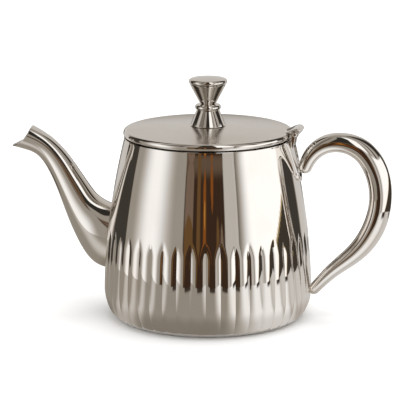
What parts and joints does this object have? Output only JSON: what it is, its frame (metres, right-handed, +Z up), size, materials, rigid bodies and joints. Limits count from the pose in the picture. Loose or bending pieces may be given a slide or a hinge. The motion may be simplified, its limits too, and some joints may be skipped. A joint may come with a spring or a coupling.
{
  "type": "teapot",
  "caption": "Polished metal teapot with lobed lower body, swan-neck spout, hollow handle and hinged lid with an hourglass knob.",
  "frame": {"origin": "centre of the flat base, in the plane the pot stands on, on the pot's round axis", "axes": "+Z up along the pot's axis, -X towards the spout, +X towards the handle, Y across"},
  "size_m": [0.2379, 0.1284, 0.1494],
  "materials": {
    "polished_metal": "mirror polished, warm silver",
    "satin_metal": "satin"
  },
  "bodies": {
    "pot": {"pot_shell": "polished_metal", "base_disc": "polished_metal", "spout_left_half": "polished_metal", "spout_right_half": "polished_metal", "spout_strainer": "satin_metal", "handle_left_half": "polished_metal", "handle_right_half": "polished_metal", "handle_upper_stud": "satin_metal", "handle_lower_stud": "satin_metal", "hinge_strap": "polished_metal", "hinge_pin": "polished_metal"},
    "lid": {"lid_shell": "polished_metal", "lid_flange": "satin_metal", "lid_hinge_leaf": "polished_metal", "knob_base": "polished_metal", "knob_collar": "polished_metal", "knob_flare": "polished_metal", "knob_cap": "polished_metal", "knob_screw": "satin_metal", "knob_washer": "satin_metal", "knob_nut": "satin_metal"}
  },
  "joints": [
    {"name": "lid_hinge", "type": "hinge", "parent": "pot", "child": "lid", "pos_m": [0.0547, 0, 0.1165], "axis": [0, 1, 0], "range_deg": [0, 100]}
  ]
}
